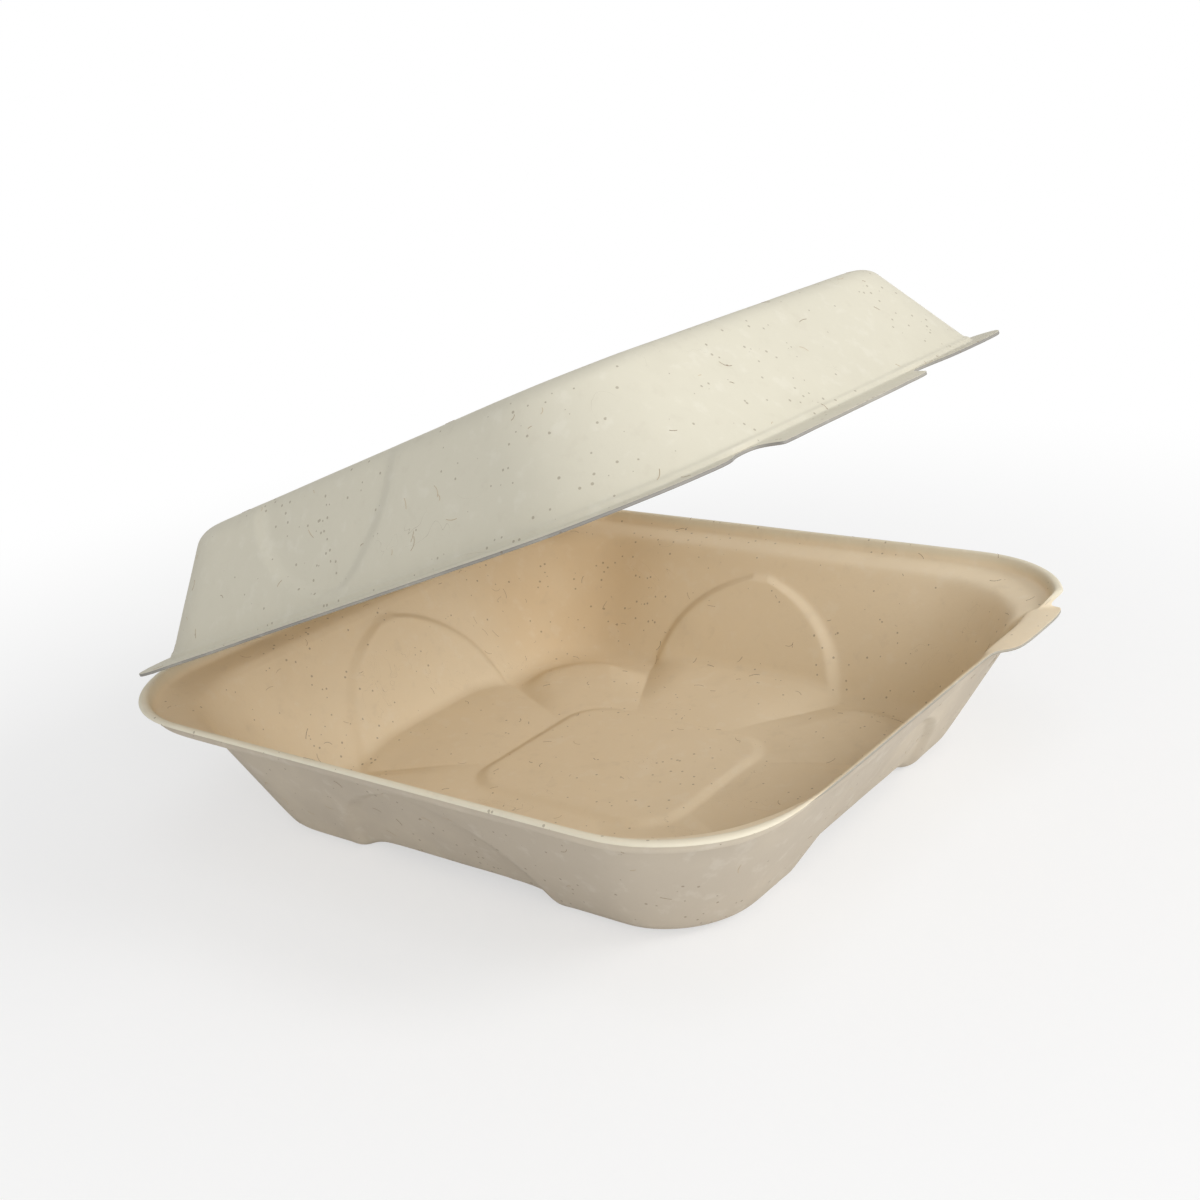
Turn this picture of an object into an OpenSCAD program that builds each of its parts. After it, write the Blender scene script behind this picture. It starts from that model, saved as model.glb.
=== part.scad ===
// Hinged clamshell container, pressed from one sheet of plant fibre.
// Each half is a sheet of even thickness. Its upper side is a grid: rings of points that run round the
// outline, from the free edge in to the middle. The lower side is the same grid, one wall thickness off.

/* [Tray] */
// Width across the rim, left to right
tray_w = 229; // [200:1:260]
// Depth across the rim, front to fold
tray_d = 237; // [205:1:270]
// Height of the rim above the table
tray_h = 49; // [38:0.5:70]
// Thickness of the pressed sheet
wall = 0.8; // [0.6:0.05:1.2]
// How far in from the rim the walls stand at the table
foot_in = 35; // [30:0.1:42]
// Corner radius of the walls at the table
foot_r = 24; // [18:1:30]
// Radius between the walls and the floor
floor_fillet = 9; // [6:0.5:14]

/* [Rim] */
// Corner radius of the rim, seen from above
rim_r = 42; // [34:1:50]
// Width of the rounded lip
lip_w = 2.6; // [1.8:0.1:4]
// Height of the collar between the lip and the ledge
collar_h = 4.6; // [3:0.1:7]
// How far in from the rim the ledge ends and the wall starts
ledge_in = 12.5; // [11:0.1:17]
// Fall of the ledge towards the inside
ledge_fall = 1.4; // [0.5:0.1:2.5]
// Corner radius of the wall just under the ledge
ledge_r = 42; // [36:1:52]
// How far in from the rim the front wall starts, where there is no collar
front_in = 8.6; // [6:0.1:12]
// Where the collar ends at the left of the front, from the middle
front_open = 62; // [50:1:68]
// Where the flat ear at the right of the front begins, from the middle
ear_start = 45; // [40:1:55]
// Share of the right front corner that the ear takes up
ear_turn = 0.2; // [0.15:0.01:0.3]

/* [Arches] */
// Half width of an arch where it stands on the floor
arch_half = 38; // [28:0.5:44]
// Height of the crown of the side and front arches above the table
arch_top = 35; // [26:0.5:37]
// Height of the crown of the back arch above the table
back_arch_top = 38; // [28:0.5:39]
// How far the arches stand off the middle, to the right and to the back
arch_shift = 2.7; // [0:0.1:5]
// How far an arch stands in from its wall
arch_step = 2.6; // [1.5:0.1:4]
// Width of the slope round an arch
arch_slope = 2.4; // [1.6:0.1:4]
// Half width of an arch's tip
arch_pinch = 4; // [3:0.5:6]

/* [Floor] */
// Height of a bridge above the feet, at the wall
bridge_h = 4.3; // [2:0.1:6]
// Height of the floor's middle above the feet
middle_h = 1.6; // [0.8:0.1:3]
// Half width of a bridge at the wall
bridge_half = 27; // [20:0.5:30]
// Distance from a bridge's middle to the groove beside it, at the wall
groove_half = 40; // [34:0.5:42]
// How much lower than its middle the corners of the floor lie
corner_drop = 0.6; // [0.2:0.1:1]
// Width of the raised panel, left to right
panel_w = 66; // [54:1:76]
// Corner radius of the panel's foot
panel_r = 14; // [9:0.5:18]
// Width of the slope round the panel
panel_edge = 2.5; // [1.5:0.1:4]
// Rise of the panel above the floor
panel_rise = 1.4; // [0.8:0.1:3]

/* [Lid] */
// How far the lid's flange ends inside the rim
lid_set = 1.8; // [0.5:0.1:4]
// Height of the lid above its flange
lid_h = 31.6; // [24:0.1:45]
// Width of the flange
flange_w = 9.5; // [7:0.1:12]
// How far the lid's walls lean in, from the flange to the top
lid_lean = 18.4; // [14:0.1:24]
// Corner radius of the flange
flange_r = 43; // [36:1:48]
// Corner radius of the lid's top
lid_top_r = 30; // [24:1:36]
// Rounding between the lid's walls and its top
lid_edge_r = 5; // [3:0.5:7]
// Fall of the flange towards its free edge
flange_fall = 1.8; // [0.4:0.1:2.6]
// Left end of the locking tab, from the middle of the front
tab_left = 63; // [56:1:65]
// Right end of the locking tab, from the middle of the front
tab_right = 26; // [20:1:30]
// Width of the gap to the right of the tab
tab_gap = 15; // [10:1:18]
// How far the tab hangs below the flange
tab_fall = 1.2; // [0:0.1:2]
// Height of a lid arch's tip above the flange
lid_arch_tip = 3; // [2.5:0.5:9]
// Half width of a lid arch at the lid's top
lid_arch_half = 38; // [28:0.5:44]

/* [Fold] */
// Angle at which the lid stands open
lid_open = 20.6; // [0:0.1:180]
// Distance from the rim's back edge to the fold line
fold_web = 1.4; // [1:0.1:3]
// Clearance between the halves, closed and along the fold
fit_gap = 0.3; // [0.2:0.05:0.5]

/* [Hidden] */

// Points on each half of a side, and segments round a corner
side_n = 5;
corner_n = 8;
per_side = 2 * side_n + corner_n;
ring_n = 4 * per_side;

// Width of the lid's flange, left to right and front to back
lid_w = tray_w - 2 * lid_set;
lid_d = tray_d - 2 * lid_set;

// The strips of the fold: how far they lie off the rim's plane, the lid's reach, and half their length
web_drop = 0.05;
lid_web = fold_web + lid_set + 1;
web_half = min(tray_w / 2 - rim_r, lid_w / 2 - flange_r) - 2;

// The whole stands with the middle between its front edge and the fold line over the origin
tray_y = -fold_web / 2;
fold_y = tray_d / 2 + fold_web + tray_y;
fold_z = tray_h + fit_gap / 2;

// Clamps, blends and turns
function mix(a, b, t) = a + (b - a) * t;
function clamp01(t) = max(0, min(1, t));
function ease(t) = clamp01(t) * clamp01(t) * (3 - 2 * clamp01(t));
function turned(v, quarters) = quarters == 0 ? v : turned([-v[1], v[0]], quarters - 1);

// Where ring point i lies: [side, place, turn]. Sides count from the front round by the right.
// The place runs from -side_n to side_n along a side, and is undef in the corner after it.
function place(i) =
    let (q = floor(i / per_side), r = i - q * per_side)
    r <= 2 * side_n ? [q, r - side_n, 0] : [q, undef, (r - 2 * side_n) / corner_n];
function is_corner(p) = p[1] == undef;

// Point of a rounded rectangle with half sizes hx and hy and corner radius r, s along its side
function outline_point(p, hx, hy, r, s) =
    let (along = (p[0] % 2 == 0 ? hx : hy) - r,
         across = p[0] % 2 == 0 ? hy : hx,
         turn = 90 * p[2])
    turned(is_corner(p) ? [along + r * sin(turn), -across + r - r * cos(turn)] : [s, -across], p[0]);

// Length of half the straight stretch of side q
function straight(q, hx, hy, r) = (q % 2 == 0 ? hx : hy) - r;

// Closed sheet from a grid of rings: the upper side as given, the lower side one thickness below it
module sheet(rings, middle, thickness) {
    rows = len(rings);
    n = ring_n;
    function at(v, u) = rings[v][(u + n) % n];
    function normal(v, u) =
        let (du = at(v, u + 1) - at(v, u - 1),
             dv = (v == rows - 1 ? middle : at(v + 1, u)) - at(max(v - 1, 0), u),
             c = cross(du, dv))
        c / norm(c);
    upper = [for (v = [0 : rows - 1]) for (u = [0 : n - 1]) at(v, u)];
    lower = [for (v = [0 : rows - 1]) for (u = [0 : n - 1]) at(v, u) - thickness * normal(v, u)];
    middles = [middle, middle - [0, 0, thickness]];
    low = rows * n;
    last = 2 * rows * n;
    function id(v, u) = v * n + u % n;
    cells = [for (v = [0 : rows - 2]) for (u = [0 : n - 1]) [v, u]];
    ring = [for (u = [0 : n - 1]) u];
    faces = concat(
        [for (c = cells) [id(c[0], c[1]), id(c[0] + 1, c[1]), id(c[0] + 1, c[1] + 1)]],
        [for (c = cells) [id(c[0], c[1]), id(c[0] + 1, c[1] + 1), id(c[0], c[1] + 1)]],
        [for (c = cells) [low + id(c[0], c[1]), low + id(c[0] + 1, c[1] + 1), low + id(c[0] + 1, c[1])]],
        [for (c = cells) [low + id(c[0], c[1]), low + id(c[0], c[1] + 1), low + id(c[0] + 1, c[1] + 1)]],
        [for (u = ring) [id(rows - 1, u), last, id(rows - 1, u + 1)]],
        [for (u = ring) [low + id(rows - 1, u), low + id(rows - 1, u + 1), last + 1]],
        [for (u = ring) [id(0, u), id(0, u + 1), low + id(0, u + 1)]],
        [for (u = ring) [id(0, u), low + id(0, u + 1), low + id(0, u)]]);
    polyhedron(points = concat(upper, lower, middles), faces = faces, convexity = 8);
}

// Share of the way from the wall to the panel that the flat feet take up
pad_share = 0.12;

// Heights of the tray's wall and the lean of its walls
ledge_z = tray_h - collar_h;
wall_z = ledge_z - ledge_fall - 2.6;
foot_z = wall - 0.1;
bridge_z = bridge_h + wall;
middle_z = middle_h + wall;
lean = atan((foot_in - ledge_in) / wall_z);
fillet_run = floor_fillet * tan((90 - lean) / 2);

// How far the front has lost its collar at a place: wholly between the corners, and fading at the left
function front_cut(p) =
    p[0] == 3 && is_corner(p) ? 0.75 * ease((p[2] - 0.5) * 2)
    : p[0] != 0 ? 0
    : is_corner(p) ? (p[2] < ear_turn ? 1 : 0)
    : p[1] == -side_n ? 0.75
    : 1;
// The flat ear stands under the collar's end, at the right of the front
function has_ear(p) = p[0] == 0 && (is_corner(p) ? p[2] < ear_turn : p[1] >= side_n - 1);
function ridge_in(p) = mix(ledge_in, has_ear(p) ? mix(front_in, ledge_in, 0.4) : front_in, front_cut(p));

// Half width of an arch at share f of its height
function arch_width(f) = f >= 1 ? arch_pinch : max(arch_pinch, arch_half * pow(1 - pow(max(f, 0), 2), 0.62));
// Height of the crown of the arch on a side, passing over into the next one in the corners
function crown(p) =
    p[0] == 2 ? (is_corner(p) ? mix(back_arch_top, arch_top, p[2]) : back_arch_top)
    : p[0] == 1 && is_corner(p) ? mix(arch_top, back_arch_top, p[2])
    : arch_top;

// Distances of the places on half a side, round an arch of half width h
function arch_spread(h, reach) =
    let (inner = h - arch_slope / 2, outer = h + arch_slope / 2)
    [0, inner / 2, inner, outer, mix(outer, reach, 0.5), reach];
// The same along the rim: at the front the outer places mark the ear and the collar's end
function rim_spread(p, reach) =
    let (k = reach / (tray_w / 2 - rim_r))
    p[0] == 0 && p[1] > 0
        ? [0, k * ear_start / 3, k * ear_start * 0.7, k * (ear_start - 2), k * (ear_start + 2), reach]
    : p[0] == 0 ? [0, k * front_open / 4, k * front_open / 2, k * front_open * 0.75, k * front_open, reach]
    : [0, reach * 0.2, reach * 0.4, reach * 0.6, reach * 0.8, reach];
function along(p, spread) = sign(p[1]) * spread[abs(p[1])];
// The places round an arch stand off the middle by the arch's shift
function shifted(p) = abs(p[1]) > 3 ? 0 : (p[0] < 2 ? 1 : -1) * arch_shift;

// Inset and height of the rim's rows from the free edge to the top of the wall
function rim_rows(p) =
    let (ridge = ridge_in(p), cut = front_cut(p), edge = has_ear(p) ? 0.2 : ridge - 2.4,
         full = [[0, tray_h - 1.2], [0.45, tray_h - 0.35], [lip_w / 2, tray_h], [lip_w, tray_h - 0.7],
                 [lip_w + 0.9, ledge_z]],
         flat = [for (j = [0 : 4]) [mix(edge, ridge - 1, j / 5), ledge_z - 0.1 * j]])
    concat(
        [for (j = [0 : 4]) mix(full[j], flat[j], cut)],
        [[mix(ledge_in - 2.6, ridge - 1, cut), ledge_z - ledge_fall],
         [mix(ledge_in - 0.6, ridge, cut), ledge_z - ledge_fall - 0.7],
         [ridge + 0.8, wall_z]]);

// Inset of the wall at height z
function wall_in(p, z) = mix(foot_in, ridge_in(p) + 0.8, clamp01(z / wall_z));
function wall_r(z) = mix(foot_r, ledge_r, clamp01(z / wall_z));

// Point of the tray on row inset d, height z, corner radius r, s along the side
function tray_at(p, d, z, r, s) =
    let (xy = outline_point(p, tray_w / 2 - d, tray_d / 2 - d, r, s))
    [xy[0], xy[1] + tray_y, z];

// Height of the floor at share t of the way from the wall to the panel
function floor_level(p, t) =
    let (k = is_corner(p) ? side_n : abs(p[1]),
         pad = mix(foot_z, middle_z - corner_drop * (1 - t), ease((t - pad_share) / 0.35)))
    k <= 2 ? mix(bridge_z, middle_z, t)
    : k == 3 ? mix(foot_z + 0.5, middle_z, t * t)
    : pad;

// Rows of the wall, as shares of the arch's height
wall_rows = [1.06, 0.99, 0.95, 0.85, 0.65, 0.42];

tray_rings = [
    for (v = [0 : 7])
        [for (i = [0 : ring_n - 1])
            let (p = place(i), row = rim_rows(p)[v],
                 r = v < 5 ? rim_r - row[0] * 0.3 : mix(rim_r, ledge_r, (v - 4) / 3),
                 reach = straight(p[0], tray_w / 2 - row[0], tray_d / 2 - row[0], r))
            tray_at(p, row[0], row[1], r, is_corner(p) ? 0 : along(p, rim_spread(p, reach)))],
    for (f = wall_rows)
        [for (i = [0 : ring_n - 1])
            let (p = place(i), z = f * crown(p), r = wall_r(z),
                 bulge = !is_corner(p) && abs(p[1]) <= 2 && f < 1 ? arch_step : 0,
                 d = wall_in(p, z) + bulge,
                 reach = straight(p[0], tray_w / 2 - d, tray_d / 2 - d, r))
            tray_at(p, d, z, r, is_corner(p) ? 0 : along(p, arch_spread(arch_width(f), reach)) + shifted(p))],
    for (t = [0, 1 / 3, 2 / 3, 1])
        [for (i = [0 : ring_n - 1])
            let (p = place(i), base = floor_level(p, 0),
                 bulge = !is_corner(p) && abs(p[1]) <= 2 ? arch_step : 0,
                 top = base + fillet_run * cos(lean),
                 a = [wall_in(p, top) + bulge, top],
                 b = [wall_in(p, base) + bulge, base],
                 c = [foot_in + fillet_run, base],
                 q = mix(mix(a, b, t), mix(b, c, t), t),
                 r = mix(wall_r(top), foot_r - fillet_run / 2, t),
                 reach = straight(p[0], tray_w / 2 - q[0], tray_d / 2 - q[0], r),
                 walls = arch_spread(arch_width(top / crown(p)), reach),
                 spread = mix(walls, floor_spread(reach, 0), t))
            tray_at(p, q[0], q[1], r, is_corner(p) ? 0 : along(p, spread) + (1 - t) * shifted(p))],
    for (t = [pad_share, 0.48, 1])
        [for (i = [0 : ring_n - 1])
            let (p = place(i), hx = mix(tray_w / 2 - foot_in - fillet_run, panel_w / 2 + panel_edge, t),
                 hy = hx + (tray_d - tray_w) / 2,
                 r = mix(foot_r - fillet_run / 2, panel_r, t),
                 reach = straight(p[0], hx, hy, r),
                 xy = outline_point(p, hx, hy, r, is_corner(p) ? 0 : along(p, floor_spread(reach, t))))
            [xy[0], xy[1] + tray_y, floor_level(p, t)]],
    [for (i = [0 : ring_n - 1])
        let (p = place(i), hx = panel_w / 2, hy = hx + (tray_d - tray_w) / 2,
             r = panel_r - panel_edge / 2,
             reach = straight(p[0], hx, hy, r),
             xy = outline_point(p, hx, hy, r, is_corner(p) ? 0 : along(p, floor_spread(reach, 1))))
        [xy[0], xy[1] + tray_y, middle_z + panel_rise]]
];
// Distances of the places on half a side of the floor: a bridge's edge, its groove, and on to the corner
function floor_spread(reach, t) =
    let (edge = mix(bridge_half, reach * 0.6, t), groove = mix(groove_half, reach * 0.8, t))
    [0, edge / 2, edge, groove, mix(groove, reach, 0.5), reach];

// Lower half: four arched walls on corner feet, with a collar round three sides of its rim
module base_tray() {
    color("tan")
    union() {
        intersection() {
            sheet(tray_rings, [0, tray_y, middle_z + panel_rise], wall);
            translate([-tray_w, -tray_d, 0])
            cube([2 * tray_w, 2 * tray_d, 2 * tray_h]);
        }
        translate([-web_half, tray_d / 2 + tray_y - lip_w / 2, tray_h - web_drop - wall])
        cube([2 * web_half, lip_w / 2 + fold_web - fit_gap / 2, wall]);
    }
}

// Heights of the lid, from its flange's underside at the free edge
crease_z = fold_z + fit_gap / 2 + wall + flange_fall;
wall_run = lid_h - lid_edge_r;
lid_y = fold_y - fold_web - lid_set - lid_d / 2;

// How much of the flange's width is cut off at the front, on both sides of the tab
function flange_cut(p) =
    p[0] == 3 && is_corner(p) ? (p[2] > 0.8 ? 0.85 : 0)
    : p[0] == 0 && is_corner(p) ? 0.2 * sin(180 * p[2])
    : p[0] != 0 ? 0
    : p[1] == -side_n ? 0.85
    : p[1] == 2 || p[1] == 3 ? 0.85
    : 0;
function is_tab(p) = p[0] == 0 && !is_corner(p) && p[1] > -side_n && p[1] <= 1;
function lid_spread(p, reach) =
    let (k = reach / (lid_w / 2 - flange_r), gap_end = tab_right + tab_gap)
    p[0] != 0 ? [0, reach * 0.2, reach * 0.4, reach * 0.6, reach * 0.8, reach]
    : p[1] > 0 ? [0, k * tab_right, k * (tab_right + 3), k * (gap_end - 3), k * gap_end, reach]
    : [0, k * tab_left / 4, k * tab_left / 2, k * tab_left * 0.75, k * tab_left, reach];
// Half width of a lid arch at height z over the flange
function lid_arch_width(z) =
    z <= lid_arch_tip ? arch_pinch
    : max(arch_pinch, lid_arch_half * pow(1 - pow(1 - (z - lid_arch_tip) / (lid_h - lid_arch_tip), 2), 0.6));

// Distance along the side in the lid's wall, where the left and right sides have an arch
function lid_along(p, h, reach) =
    is_corner(p) ? 0
    : along(p, p[0] % 2 == 1 ? arch_spread(h, reach) : lid_spread(p, reach));

function lid_at(p, d, z, r, s) =
    let (xy = outline_point(p, lid_w / 2 - d, lid_d / 2 - d, r, s))
    [xy[0], xy[1] + lid_y, z];

lid_levels = [lid_arch_tip - 1.5, lid_arch_tip, lid_arch_tip + 2.5, 0.35 * wall_run, 0.6 * wall_run, wall_run];
crease_r = flange_r - flange_w / 2;

lid_rings = [
    for (v = [0 : 3])
        [for (i = [0 : ring_n - 1])
            let (p = place(i), keep = 1 - flange_cut(p),
                 d = [flange_w * (1 - keep), flange_w - 1.2 * keep, flange_w, flange_w + 0.8][v],
                 drop = [flange_fall + (is_tab(p) ? tab_fall : 0), 0.15, 0, -1.5][v],
                 r = mix(flange_r, crease_r, d / flange_w),
                 reach = straight(p[0], lid_w / 2 - d, lid_d / 2 - d, r))
            lid_at(p, d, crease_z - drop, r, is_corner(p) ? 0 : along(p, lid_spread(p, reach)))],
    for (z = lid_levels)
        [for (i = [0 : ring_n - 1])
            let (p = place(i), arched = p[0] % 2 == 1 && !is_corner(p),
                 r = mix(crease_r, lid_top_r, z / lid_h),
                 bulge = arched && abs(p[1]) <= 2 && z >= lid_arch_tip ? arch_step : 0,
                 d = mix(flange_w + 0.3, flange_w + lid_lean, z / lid_h) + bulge,
                 reach = straight(p[0], lid_w / 2 - d, lid_d / 2 - d, r),
                 h = lid_arch_width(z))
            lid_at(p, d, crease_z + z, r, lid_along(p, h, reach))],
    for (t = [0.3, 0.65, 1])
        [for (i = [0 : ring_n - 1])
            let (p = place(i), arched = p[0] % 2 == 1 && !is_corner(p),
                 bulge = arched && abs(p[1]) <= 2 ? arch_step : 0,
                 low = [mix(flange_w + 0.3, flange_w + lid_lean, wall_run / lid_h) + bulge, wall_run],
                 peak = [flange_w + lid_lean + bulge, lid_h],
                 end = [flange_w + lid_lean + lid_edge_r, lid_h],
                 q = mix(mix(low, peak, t), mix(peak, end, t), t),
                 r = lid_top_r - t * lid_edge_r / 2,
                 reach = straight(p[0], lid_w / 2 - q[0], lid_d / 2 - q[0], r))
            lid_at(p, q[0], crease_z + q[1], r, lid_along(p, lid_arch_half, reach))]
];

// Upper half: leaning walls and a flat top, with a flange that rests on the tray's rim
module lid() {
    color("beige")
    translate([0, fold_y, fold_z])
    rotate([-lid_open, 0, 0])
    translate([0, -fold_y, -fold_z])
    union() {
        sheet(lid_rings, [0, lid_y, crease_z + lid_h], wall);
        translate([-web_half, fold_y - fit_gap / 2 - lid_web, fold_z + fit_gap / 2 + web_drop])
        cube([2 * web_half, lid_web, wall / 2]);
    }
}

base_tray();
lid();
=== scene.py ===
# %% [markdown]
# # A hinged food container of pressed plant fibre
# The real object is one sheet of wet pulp, pressed between two heated moulds and dried. Its whole shape
# is therefore a rule: one surface, the same thickness everywhere, bent into walls, arches, feet and a
# rim. This lesson builds that surface as a cage of rings, lets Geometry Nodes press it into a sheet,
# and gives it a pulp material with specks, fibres and the fine relief of the mould's wire mesh.

# %% Load the frame
import math
import bmesh
import bpy
from mathutils import Matrix, Vector


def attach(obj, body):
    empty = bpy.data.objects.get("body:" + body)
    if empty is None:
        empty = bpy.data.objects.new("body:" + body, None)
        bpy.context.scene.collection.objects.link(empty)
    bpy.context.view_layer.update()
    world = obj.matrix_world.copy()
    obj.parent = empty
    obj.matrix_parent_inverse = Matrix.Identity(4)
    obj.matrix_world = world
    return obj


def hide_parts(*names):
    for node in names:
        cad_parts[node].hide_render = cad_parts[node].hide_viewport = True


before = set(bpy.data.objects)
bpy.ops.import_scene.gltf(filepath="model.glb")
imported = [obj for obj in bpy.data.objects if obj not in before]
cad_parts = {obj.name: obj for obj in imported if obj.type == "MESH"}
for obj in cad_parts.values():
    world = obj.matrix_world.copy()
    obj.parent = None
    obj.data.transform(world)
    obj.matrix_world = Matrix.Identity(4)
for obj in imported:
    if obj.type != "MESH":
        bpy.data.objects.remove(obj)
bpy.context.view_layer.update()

# %% [markdown]
# ## The sizes
# All sizes are in millimetres, as the maker of a mould would write them, and become metres only when a
# mesh is made. Most are the CAD model's own values. Some of the lid's were read off the photograph once
# more for this finer surface: its height, the fall and the back of its flange, its tab and its arches.

# %% Sizes of the two halves
MM = 0.001
WALL = 0.8
TRAY = dict(w=229.0, d=237.0, h=49.0, foot_in=35.0, foot_r=24.0, fillet=9.0, rim_r=42.0,
            collar=4.6, ledge_in=12.5, ledge_fall=1.4, ledge_r=42.0, front_in=8.6)
ARCH = dict(half=38.0, top=35.0, back_top=38.0, step=2.6, slope=2.4, pinch=4.0, shift=2.7)
FLOOR = dict(bridge=4.3, middle=1.6, pad=0.12, pad_rise=2.1, panel=66.0, panel_r=14.0, panel_edge=2.5,
             panel_rise=1.4)
AT_WALL = dict(bridge_half=27.0, groove=40.0, groove_half=1.5, bridge_bank=11.0, foot_bank=13.0)
AT_PANEL = dict(bridge_half=15.0, groove=19.0, groove_half=0.8, bridge_bank=5.0, foot_bank=7.0)
LID = dict(set=1.8, h=33.2, flange=9.5, lean=18.4, r=43.0, top_r=30.0, edge_r=5.0, fall=0.2, back=2.2,
           tab_left=54.0, tab_right=28.0, gap=15.0, tab_fall=1.4)
LID_ARCH = dict(tip=3.4, half=30.0, step=1.7, slope=4.2, shift=9.0)
LID["w"] = TRAY["w"] - 2 * LID["set"]
OPEN = 20.6
FOLD_WEB = 1.4
FIT_GAP = 0.3
TRAY_Y = -FOLD_WEB / 2
FOLD_Y = TRAY["d"] / 2 + FOLD_WEB + TRAY_Y
FOLD_Z = TRAY["h"] + FIT_GAP / 2
print("fold line at y", round(FOLD_Y, 2), "z", round(FOLD_Z, 2), "mm")

# %% [markdown]
# ## Walking round the outline
# Every ring of the cage is a rounded rectangle. A place on it is either on one of four straight sides
# or in the corner after it. Naming places this way lets each side choose where its points stand, so
# that lines of the cage follow the edges of an arch or the end of a tab. An even grid would cut
# across those edges and blur them.

# %% Places on a ring
SIDE = 7
TURNS = [0.0, 7.0, 13.0, 16.5, 18.2, 20.0, 25.0, 33.0, 41.0, 49.0, 57.0, 65.0, 73.0, 81.5, 90.0]


def places():
    """(side, place or None, turn in degrees) for every point of a ring, counter-clockwise."""
    ring = []
    for side in range(4):
        ring += [(side, k, 0.0) for k in range(-SIDE, SIDE + 1)]
        ring += [(side, None, a) for a in TURNS[1:-1]]
    return ring


RING = places()


def turned(x, y, quarters):
    for _ in range(quarters):
        x, y = -y, x
    return x, y


def outline(p, hx, hy, r, s):
    """Point of a rounded rectangle with half sizes hx and hy; s is the distance along its side."""
    side, k, turn = p
    along, across = (hx - r, hy) if side % 2 == 0 else (hy - r, hx)
    if k is None:
        a = math.radians(turn)
        return turned(along + r * math.sin(a), -across + r - r * math.cos(a), side)
    return turned(s, -across, side)


def mix(a, b, t):
    return a + (b - a) * t


def ease(t):
    t = max(0.0, min(1.0, t))
    return t * t * (3 - 2 * t)


def half_straight(p, hx, hy, r):
    return (hx if p[0] % 2 == 0 else hy) - r


def along(p, spread):
    return 0.0 if p[1] is None else math.copysign(spread[abs(p[1])], p[1])


def on_panel(p):
    """True for the places that stand inside an arch."""
    return p[1] is not None and abs(p[1]) <= 3


print(len(RING), "places on a ring")

# %% [markdown]
# ## The arches
# Each wall of the tray has a shallow arch pressed inwards. It stiffens the wall, and it stands on the
# edge of the bridge between two feet. The places on a side close in round the arch with its height,
# so that the step runs along lines of the cage.

# %% Arch helpers
def arch_width(share):
    """Half width of an arch at a share of its height."""
    if share >= 1:
        return ARCH["pinch"]
    return max(ARCH["pinch"], ARCH["half"] * (1 - max(share, 0.0) ** 2) ** 0.62)


def crown(p):
    """Height of the arch's crown on a side, passing over into the next one in the corners."""
    side, k, turn = p
    if side == 2:
        return mix(ARCH["back_top"], ARCH["top"], turn / 90 if k is None else 0.0)
    if side == 1 and k is None:
        return mix(ARCH["top"], ARCH["back_top"], turn / 90)
    return ARCH["top"]


def shifted(p):
    """The arches stand a little off the middle, to the right and to the back."""
    if p[1] is None or abs(p[1]) > 5:
        return 0.0
    return (1 if p[0] < 2 else -1) * ARCH["shift"] * (1.0 if abs(p[1]) < 5 else 0.8)


def arch_spread(h, reach, slope=ARCH["slope"]):
    """Distances of the places from a side's middle, with the step of an arch of half width h."""
    inner, outer = h - slope / 2, h + slope / 2
    soft = min(2.4, 0.4 * inner)
    past = outer + min(2.4, 0.3 * (reach - outer))
    return [0.0, 0.45 * inner, inner - soft, inner, outer, past, mix(past, reach, 0.5), reach]


print("arch is", round(2 * arch_width(0.5), 1), "mm wide at half its height")

# %% [markdown]
# ## The rim
# Round three sides the rim is a rounded lip on a low collar, with a ledge inside it. Across the front
# the collar is left out, so that the lid's tab can be pushed in there, and at the right a flat ear
# stands out for the thumb. How much of the collar is left depends only on where the rim's point is,
# so it is written as two soft windows over x.

# %% Rim rows of the tray
def tray_at(p, d, z, r, s):
    x, y = outline(p, TRAY["w"] / 2 - d, TRAY["d"] / 2 - d, r, s)
    return (x, y + TRAY_Y, z)


def rim_spread(p, reach):
    k = reach / (TRAY["w"] / 2 - TRAY["rim_r"])
    if p[0] == 0 and (p[1] or 0) > 0:
        return [0, 18 * k, 36 * k, 43 * k, 45 * k, 47 * k, 60 * k, reach]
    if p[0] == 0:
        return [0, 15 * k, 30 * k, 42 * k, 52 * k, 60 * k, 66 * k, reach]
    return [reach * j / 7 for j in range(8)]


def rim_x(p):
    """x of the rim's point if it is at the front or in a front corner, else None."""
    if p[0] == 0 or (p[0] == 3 and p[1] is None):
        return tray_at(p, 0, 0, TRAY["rim_r"], along(p, rim_spread(p, TRAY["w"] / 2 - TRAY["rim_r"])))[0]
    return None


def front_cut(p):
    """1 where the collar is left out at the front, else 0."""
    x = rim_x(p)
    if x is None:
        return 0.0
    return ease((x + 100.0) / 40.0) * (1 - ease((x - 85.3) / 1.6))


def ear(p):
    """1 along the flat ear at the right of the front, else 0."""
    x = rim_x(p)
    if x is None:
        return 0.0
    return ease((x - 44.0) / 2.4) * (1 - ease((x - 84.0) / 2.6))


LEDGE_Z = TRAY["h"] - TRAY["collar"]
WALL_Z = LEDGE_Z - TRAY["ledge_fall"] - 2.6
LIP_ROWS = [(0.0, -1.0), (0.12, -0.5), (0.6, -0.12), (1.35, 0.0), (2.1, -0.2), (2.6, -0.9),
            (2.95, -2.4), (3.3, -4.0), (4.2, -4.6)]


def ridge_in(p):
    """How far inside the rim's edge the wall begins."""
    cut = front_cut(p)
    open_in = mix(TRAY["front_in"], mix(TRAY["front_in"], TRAY["ledge_in"], 0.4), ear(p))
    return mix(TRAY["ledge_in"], open_in, cut)


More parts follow.
